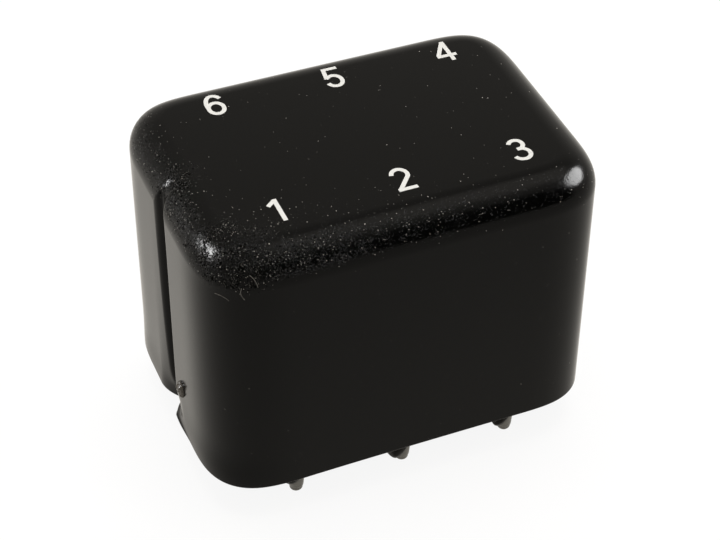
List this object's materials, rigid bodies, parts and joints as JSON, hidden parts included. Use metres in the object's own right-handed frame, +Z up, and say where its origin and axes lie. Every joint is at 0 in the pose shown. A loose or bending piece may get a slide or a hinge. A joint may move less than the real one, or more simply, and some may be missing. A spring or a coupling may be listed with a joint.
{
  "type": "audio transformer",
  "caption": "Small audio transformer potted in a black painted drawn can, with two rows of round pins for a circuit board.",
  "frame": {"origin": "centre of the rectangle of the four corner pins, in the plane of the pin tips", "axes": "+Z up from the pin tips to the can's top, +X along the can's length with the end that has the pressed channel at -X, +Y from the row of pins 1, 2, 3 to the row of pins 6, 5, 4"},
  "size_m": [0.0274, 0.019, 0.022],
  "materials": {
    "can_paint": "satin black paint over drawn steel",
    "epoxy_bead": "glossy set epoxy",
    "potting_compound": "cast epoxy, semi-gloss",
    "bobbin_nylon": "moulded nylon, matt",
    "primary_wire": "enamelled copper, glossy",
    "secondary_wire": "enamelled copper, glossy",
    "lead_enamel": "enamelled copper, glossy",
    "tape_film": "polyester film tape",
    "core_nickel_iron": "annealed nickel-iron sheet, dull",
    "print_ink": "matt white printing ink",
    "pin_tin": "dull tin plate"
  },
  "bodies": {
    "root": {"can": "can_paint", "potting": "potting_compound", "epoxy_bead": "epoxy_bead", "pin_1": "pin_tin", "pin_2": "pin_tin", "pin_3": "pin_tin", "pin_4": "pin_tin", "pin_5": "pin_tin", "pin_6": "pin_tin", "bobbin": "bobbin_nylon", "primary_winding": "primary_wire", "interwinding_tape": "tape_film", "secondary_winding": "secondary_wire", "outer_tape": "tape_film", "core_e_laminations": "core_nickel_iron", "core_i_laminations": "core_nickel_iron", "lead_1": "lead_enamel", "lead_2": "lead_enamel", "lead_3": "lead_enamel", "lead_4": "lead_enamel", "lead_5": "lead_enamel", "lead_6": "lead_enamel"}
  },
  "joints": []
}
